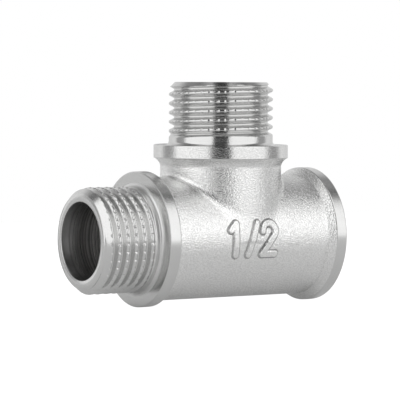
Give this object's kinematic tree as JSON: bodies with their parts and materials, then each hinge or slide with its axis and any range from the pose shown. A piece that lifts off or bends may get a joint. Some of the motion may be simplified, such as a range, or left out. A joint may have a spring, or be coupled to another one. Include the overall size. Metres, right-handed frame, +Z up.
{
  "type": "threaded pipe tee",
  "caption": "Nickel-plated brass pipe tee: a straight run with a male thread at one end and a female socket at the other, and a male threaded branch between turned collars.",
  "frame": {"origin": "where the axis of the run and the axis of the branch cross", "axes": "X along the run, with the male end at -X and the female socket at +X; +Z up along the branch"},
  "size_m": [0.0532, 0.0268, 0.044],
  "materials": {
    "blasted_nickel": "forged brass, shot blasted and nickel plated, satin",
    "turned_nickel": "turned brass, nickel plated, bright with fine turning lines",
    "thread_nickel": "cut thread in brass, nickel plated, bright"
  },
  "bodies": {
    "root": {"tee_body": "blasted_nickel", "run_collar": "turned_nickel", "run_thread": "thread_nickel", "branch_collar": "turned_nickel", "branch_thread": "thread_nickel", "socket_rim": "turned_nickel", "socket_thread": "thread_nickel", "casting_mark": "blasted_nickel"}
  },
  "joints": []
}
